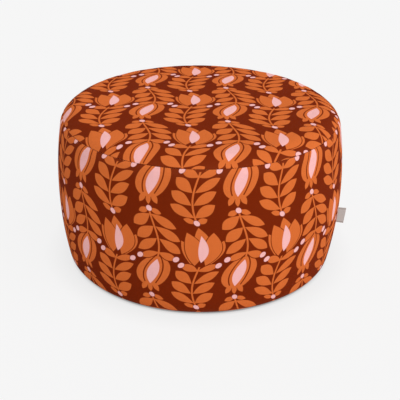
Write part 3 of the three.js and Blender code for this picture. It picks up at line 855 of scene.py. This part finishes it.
side_length = math.pi * drum_radius
side_columns = spaced(0, side_length, 2 * side_length / cover_columns, (True, True)).T
edge_start = top_seam + piece_gap / 2
for node, first_angle, shift in (
    ("side_panel_rear", 0.0, rear_print_shift), ("side_panel_front", math.pi, front_print_shift),
):
    edge_end = base_seam - zip_opening(first_angle + side_columns / drum_radius)
    shortest = float(edge_end.min())
    fixed = spaced(edge_start, shortest, cover_step)
    lead = held((fixed - skin_end) / (shortest - skin_end))
    distance = fixed + (edge_end - shortest) * lead
    past_label = np.abs(skin(fixed, 0)[1] - label_middle) - label_height / 2
    gaps = [piece_gap / 2 + label_pocket * held(0.5 - past_label / pocket_taper), piece_gap / 2]
    left_gap, right_gap = reversed(gaps) if first_angle else gaps
    from_left = left_gap + side_columns / side_length * (side_length - left_gap - right_gap)
    angle = first_angle + from_left / drum_radius
    to_sides = np.minimum(from_left - left_gap, side_length - right_gap - from_left)
    from_edge = np.minimum(np.minimum(distance - edge_start, edge_end - distance), to_sides)
    side_flat = strip_flat(angle - first_angle, distance) + shift
    side_cloth = printed_panel(node, angle, distance, from_edge, side_flat, False)

# Base cloth: a disc of plain hard-wearing dark cloth on which the tuffet stands. Its edge is
# turned in along the base seam and the zip.
base_brown = linear(58, 44, 36)
base_rows = 46
base_finish = cloth_finish(
    "base_finish", base_brown, thread=0.0009, slub=0.4, drift=0.12, sheen_weight=0.1,
)
base_start = base_seam + zip_opening(full_round)
near_edge = edge_steps / (axis_end - float(base_start.max()))
base_shares = np.concatenate([near_edge, np.linspace(near_edge[-1], 1, base_rows)[1:]])[:, None]
base_distance = base_start + base_shares * (axis_end - base_start)
base_cloth = cover_panel(
    "base_panel", full_round[:, :-1], base_distance[:, :-1], (base_distance - base_start)[:, :-1],
    base_flat(full_round, base_distance), True, base_finish, "base_cloth",
)

# Side label: a short length of woven satin tape, folded in half and held by its ends in the
# side seam. It is blank, with a plain woven line along its edges.
label_projection = 0.020
label_seat = 0.0008
label_droop = 0.003
label_leaf = 0.00030
fold_half_gap = 0.00004
fold_swell = 0.00035
fold_share = 0.12
label_curl = 0.0012
curl_swing = 0.4
label_grey = linear(188, 184, 180)
line_grey = linear(120, 112, 108)
line_inset = 0.0022
line_width = 0.0007
label_thread = 0.0004
label_rows = 29
label_steps = 30

label_path = np.linspace(-1, 1, 2 * label_steps + 1)[None, :]
label_share = np.linspace(0, 1, label_rows)[:, None]
seam_height = label_middle + label_height / 2 - label_share * label_height
seam_radius = skin(skin_distance(label_middle, 0) + (label_middle - seam_height), 0)[0]
outward = 1 - np.abs(label_path) ** 3
spread = fold_half_gap + label_leaf / 2 + fold_swell * outward ** 4
side_of = np.sin(np.clip(label_path / fold_share, -1, 1) * math.pi / 2)
curl_share = 1 - curl_swing + curl_swing * np.cos(math.pi * label_share)
label_reach = label_seat + label_projection
label_walls = []
for offset in (label_leaf / 2, -label_leaf / 2):
    x = seam_radius - label_seat + label_reach * outward + offset * (1 - np.abs(side_of))
    y = side_of * (spread + offset) + label_curl * outward * outward * curl_share
    label_walls.append(grid_points(x, y, seam_height - label_droop * outward))
label_flat = grid_points(label_path * label_reach, label_share * label_height)

label_finish, shader, place = new_finish(
    "label_finish", True, roughness=0.5, specular_ior_level=0.4, sheen_weight=0.2, sheen_roughness=0.3,
)
height, tone = plain_weave(place, label_thread, 0.2, 0.01, 0.05)
from_middle = calc("ABSOLUTE", minus(add_node("SeparateXYZ", {0: place})[1], label_height / 2))
from_line = calc("ABSOLUTE", minus(from_middle, label_height / 2 - line_inset))
on_line = calc("LESS_THAN", from_line, line_width / 2)
label_colour = mix_colours(on_line, label_grey, line_grey)
dress(shader, scaled(label_colour, tone), height, label_thread * 0.3)
label_mesh = body_mesh("side_label_tape", *label_walls, label_flat, False)
label_piece = add_piece(label_mesh, label_finish, "side_label")

# Zip: two woven tapes with a beaded inner edge, sewn under the cloth along the base seam. Rows of
# moulded teeth grip the beads and hold each other half a pitch apart.
zip_height = 0.00585
tape_edge = 0.0015
tape_width = 0.0125
tape_half = 0.0003
bead_half = 0.0008
bead_width = 0.0017
tape_columns = 300
tape_brown = linear(74, 38, 24)
tooth_brown = linear(92, 50, 30)
tooth_pitch = 0.0048
tooth_thickness = 0.0026
tooth_root = 0.0034
tooth_tip = 0.0011
tooth_tip_flat = 0.6
tooth_root_width = 0.0009
tooth_flank_gap = 0.0003
tooth_bevel = 0.0003
stop_length = 0.0035
slider_length = 0.014

# Repeats the piece it is on along an arc round the drum's axis
arc_tree, given, done = new_group("repeat_on_arc", {
    "Piece": "Geometry", "Radius": "Float", "Height": "Float", "First angle": "Float",
    "Step angle": "Float", "Count": "Int", "Finish": "Material",
}, {"Row": "Geometry"}, "Geometry")
index = add_node("GeometryNodeInputIndex", tree=arc_tree)[0]
angle = times(index, given["Step angle"], given["First angle"])
x, y = (times(calc(wave, angle), given["Radius"]) for wave in ("COSINE", "SINE"))
place = add_node("CombineXYZ", {0: x, 1: y, 2: given["Height"]})[0]
turn = add_node("CombineXYZ", {2: angle})[0]
points = add_node("GeometryNodePoints", {"Count": given["Count"], "Position": place})[0]
row = add_node("GeometryNodeInstanceOnPoints", {
    "Points": points, "Instance": given["Piece"], "Rotation": turn,
})[0]
real = add_node("GeometryNodeRealizeInstances", {"Geometry": row})[0]
feed(done, "Row", add_node("GeometryNodeSetMaterial", {"Geometry": real, "Material": given["Finish"]})[0])
arc_inputs = {socket.name: socket.identifier for socket in given}


def repeat_on_arc(name, piece_mesh, **values):
    """One mesh of a small piece repeated along an arc."""
    seed = add_object(name + "_one", piece_mesh)
    modifier = seed.modifiers.new("row", "NODES")
    modifier.node_group = arc_tree
    for label, value in values.items():
        modifier[arc_inputs[label.replace("_", " ").capitalize()]] = value
    evaluated = seed.evaluated_get(bpy.context.evaluated_depsgraph_get())
    mesh = bpy.data.meshes.new_from_object(evaluated)
    mesh.name = name
    bpy.data.objects.remove(seed)
    return settle(mesh, 40)


def round_edges(shape, edges, rounding):
    """Rounds some edges of a shape."""
    bmesh.ops.bevel(shape, geom=edges, offset=rounding, segments=2, affect="EDGES", clamp_overlap=True)


tape_finish = cloth_finish("tape_finish", tape_brown, thread=0.0006, slub=0.3, drift=0.06)
tooth_finish, shader, place = new_finish("tooth_finish", roughness=0.35, specular_ior_level=0.5)
grain = noise(place, 900.0)
tooth_colour = scaled(tooth_brown[:3], uneven_tone(place, 0.004, 0.12))
dress(shader, tooth_colour, grain, 0.00005, times(grain, 0.2, 0.28))

zip_length = zip_radius * (zip_end - zip_start)
first_tooth = tape_tail + stop_length + tooth_pitch / 2
slider_middle = zip_length - tape_tail - stop_length - piece_gap - slider_length / 2
tooth_count = math.floor((slider_middle - tooth_pitch / 2 - first_tooth) / tooth_pitch)
tooth_slope = (tooth_pitch / 2 - tooth_flank_gap - tooth_root_width) / (2 * tooth_root)
tooth_tip_width = tooth_root_width + 2 * tooth_slope * (tooth_root + tooth_tip)

for side, node, lead in ((1, "zip_tape_side", 0), (-1, "zip_tape_base", tooth_pitch / 2)):
    across = np.concatenate([
        np.linspace(0, bead_width, 9)[:-1], np.linspace(bead_width, tape_width, 8),
    ])[:, None]
    bead = np.sqrt(held(1 - (across / bead_half - 1) ** 2)) * bead_half
    half = np.maximum(bead, tape_half)
    angle = np.linspace(zip_start, zip_end, tape_columns)[None, :]
    radius = zip_radius + side * (tape_edge + across)
    tape_walls = [round_axis(radius, angle, height) for height in (zip_height - half, zip_height + half)]
    tape_flat = grid_points(angle * zip_radius, across)
    tape_mesh = body_mesh(node + "_cloth", *tape_walls, tape_flat, False)
    tape = add_piece(tape_mesh, tape_finish, node)

    # A tooth has its root on one tape, and its wider tip reaches over the zip's middle
    half_outline = [
        (side * tooth_root, tooth_root_width / 2),
        (-side * tooth_tip * tooth_tip_flat, tooth_tip_width / 2),
        (-side * tooth_tip, tooth_tip_width / 4),
    ]
    outline = [(x, -y) for x, y in half_outline] + half_outline[::-1]
    shape = bmesh.new()
    bottom, lid = (
        [shape.verts.new((x, y, height)) for x, y in outline]
        for height in (-tooth_thickness / 2, tooth_thickness / 2)
    )
    shape.faces.new(lid)
    shape.faces.new(bottom[::-1])
    for place in range(len(outline)):
        shape.faces.new((bottom[place - 1], bottom[place], lid[place], lid[place - 1]))
    bmesh.ops.recalc_face_normals(shape, faces=shape.faces)
    round_edges(shape, shape.edges[:], tooth_bevel)
    tooth = settle(bpy.data.meshes.new("tooth"), 40, shape)
    teeth = add_piece(repeat_on_arc(
        node + "_teeth", tooth, radius=zip_radius, height=zip_height,
        first_angle=zip_start + (first_tooth + lead) / zip_radius,
        step_angle=tooth_pitch / zip_radius, count=tooth_count, finish=tooth_finish,
    ))

# Zip slider, pull and stops: cast brass with softened edges, tumbled to a dull antique finish.
# Each follows its solid in the frame, with its edges rounded.
brass_gold = linear(148, 116, 68)
brass_dark = linear(84, 62, 38)
cast_rounding = 0.00018
flat_angle = math.radians(2)
edge_angle = math.radians(25)

brass_finish, shader, place = new_finish("brass_finish", metallic=1.0, roughness=0.35)
tarnish = noise(place, 380.0, Detail=5.0)
bright = add_node("MapRange", {0: tarnish, 1: 0.40, 2: 0.62})[0]
dress(shader, mix_colours(bright, brass_dark, brass_gold), tarnish, 0.00006, times(bright, -0.22, 0.52))

for node, body in (
    ("zip_bottom_stop", "upholstery"), ("zip_top_stop_side", "upholstery"),
    ("zip_top_stop_base", "upholstery"), ("zip_slider", "slider"), ("zip_pull", "pull"),
):
    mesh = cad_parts[node].data.copy()
    mesh.name = node + "_casting"
    shape = bmesh.new()
    shape.from_mesh(mesh)
    bmesh.ops.remove_doubles(shape, verts=shape.verts, dist=1e-6)
    bmesh.ops.dissolve_limit(shape, angle_limit=flat_angle, verts=shape.verts, edges=shape.edges)
    corners = [edge for edge in shape.edges if edge.is_manifold and edge.calc_face_angle() > edge_angle]
    round_edges(shape, corners, cast_rounding)
    bmesh.ops.triangulate(shape, faces=shape.faces)
    add_piece(settle(mesh, 35, shape), brass_finish, node, body)

# Sewing thread: brown polyester. Its stitches show in the grooves of the top seam, the base seam
# and the side seams, and in a row along each side of the zip that holds a tape.
thread_brown = linear(92, 40, 20)
thread_radius = 0.00022
stitch_length = 0.0030
stitch_share = 0.78
stitch_sides = 6
stitch_sink = 0.0004
topstitch_inset = 0.0022
topstitch_stand = 0.6
groove_depth = 0.00045
thread_finish, shader, place = new_finish("thread_finish", roughness=0.75, specular_ior_level=0.15)
twist = add_node("TexWave", {"Vector": place, "Scale": 900.0})["Fac"]
# The thread's colour is painted darker in the grooves of its twist, as shade
dress(shader, scaled(thread_brown[:3], times(twist, 0.3, 0.8)), twist, 0.00008)


def stitch_mesh(inward, upward, length=stitch_length * stitch_share):
    """One stitch along Y: a short thread whose ends go down into the cloth, inwards or upwards."""
    along = np.linspace(-1, 1, 7)[:, None]
    turn = all_round(stitch_sides)[:, :-1]
    thickness = thread_radius * np.sqrt(np.clip(1 - along ** 4, 0.02, 1))
    sink = stitch_sink * along ** 4
    x, z = thickness * np.cos(turn) - inward * sink, thickness * np.sin(turn) + upward * sink
    rings = grid_points(x, along * length / 2, z)
    tips = [np.repeat(rings[[end]].mean(1, keepdims=True), stitch_sides, 1) for end in (0, -1)]
    return body_mesh("stitch", np.concatenate([tips[0], rings, tips[1]]))


def stitch_row(name, radius, height, first, last, inward, upward):
    """A row of stitches along an arc round the axis."""
    count = round(radius * (last - first) / stitch_length)
    return add_piece(repeat_on_arc(
        name, stitch_mesh(inward, upward), radius=radius, height=height, first_angle=first,
        step_angle=(last - first) / count, count=count, finish=thread_finish,
    )).data


top_groove = np.array(skin(top_seam, groove_depth)).tolist()
top_stitches = stitch_row("top_seam_stitches", *top_groove, 0, 2 * math.pi, 1, -1)
places = vertex_places(top_stitches)
angle = np.arctan2(places[:, 1], places[:, 0])
outwards = round_axis(math.cos(seam_tilt), angle, math.sin(seam_tilt))
places += outwards * cloth_rise(angle, top_seam)[:, None]
top_stitches.vertices.foreach_set("co", places.ravel())
for side, label in ((1, "side"), (-1, "base")):
    stitch_row(
        "zip_stitches_" + label, zip_radius + side * (opening_half + topstitch_inset),
        cover_well[0] - thread_radius * topstitch_stand, zip_start, zip_end, 0, 1,
    )
base_groove = cover_well[0] + groove_depth
stitch_row("base_seam_stitches", zip_radius, base_groove, zip_end, zip_start + 2 * math.pi, 0, 1)

# Side seams: their stitches run down the side shoulder and the bowed side, in the same brown
# thread. The label parts one of the two seams.
label_low, label_high = (
    math.asin((label_middle + past - widest_height) / bow_radius)
    for past in (-label_height / 2, label_height / 2)
)
shoulder, bow = (arc[:2] for arc in outline_arcs[1:3])
for label, turn, (centre, radius), low, high in (
    ("label_shoulder", 0, shoulder, bow_top_tilt, seam_tilt),
    ("label_upper", 0, bow, label_high, bow_top_tilt),
    ("label_lower", 0, bow, -bow_base_tilt, label_low),
    ("plain_shoulder", math.pi, shoulder, bow_top_tilt, seam_tilt),
    ("plain_bow", math.pi, bow, -bow_base_tilt, bow_top_tilt),
):
    run = stitch_row("side_seam_stitches_" + label, radius - groove_depth, 0, low, high, 1, 0)
    upright = Matrix.Translation((centre[0], 0, centre[1])) @ Matrix.Rotation(math.pi / 2, 4, "X")
    run.transform(Matrix.Rotation(turn, 4, "Z") @ upright)

# Bar tacks: a few close stitches across both tapes, beyond the stops, that hold each end of the
# zip together. They are of the same brown thread.
tack_length = 0.0086
tack_pitch = 0.00042
tack_count = 14
tack_place = 0.0071
tack_stand = 0.7

across_zip = stitch_mesh(0, 1, tack_length)
across_zip.transform(Matrix.Rotation(math.pi / 2, 4, "Z"))
tack_step, tack_angle = tack_pitch / zip_radius, tack_place / zip_radius
for label, middle in (("start", zip_start + tack_angle), ("end", zip_end - tack_angle)):
    add_piece(repeat_on_arc(
        "zip_tack_" + label, across_zip, radius=zip_radius,
        height=zip_height - tape_half - thread_radius * tack_stand,
        first_angle=middle - tack_step * (tack_count - 1) / 2, step_angle=tack_step,
        count=tack_count, finish=thread_finish,
    ))
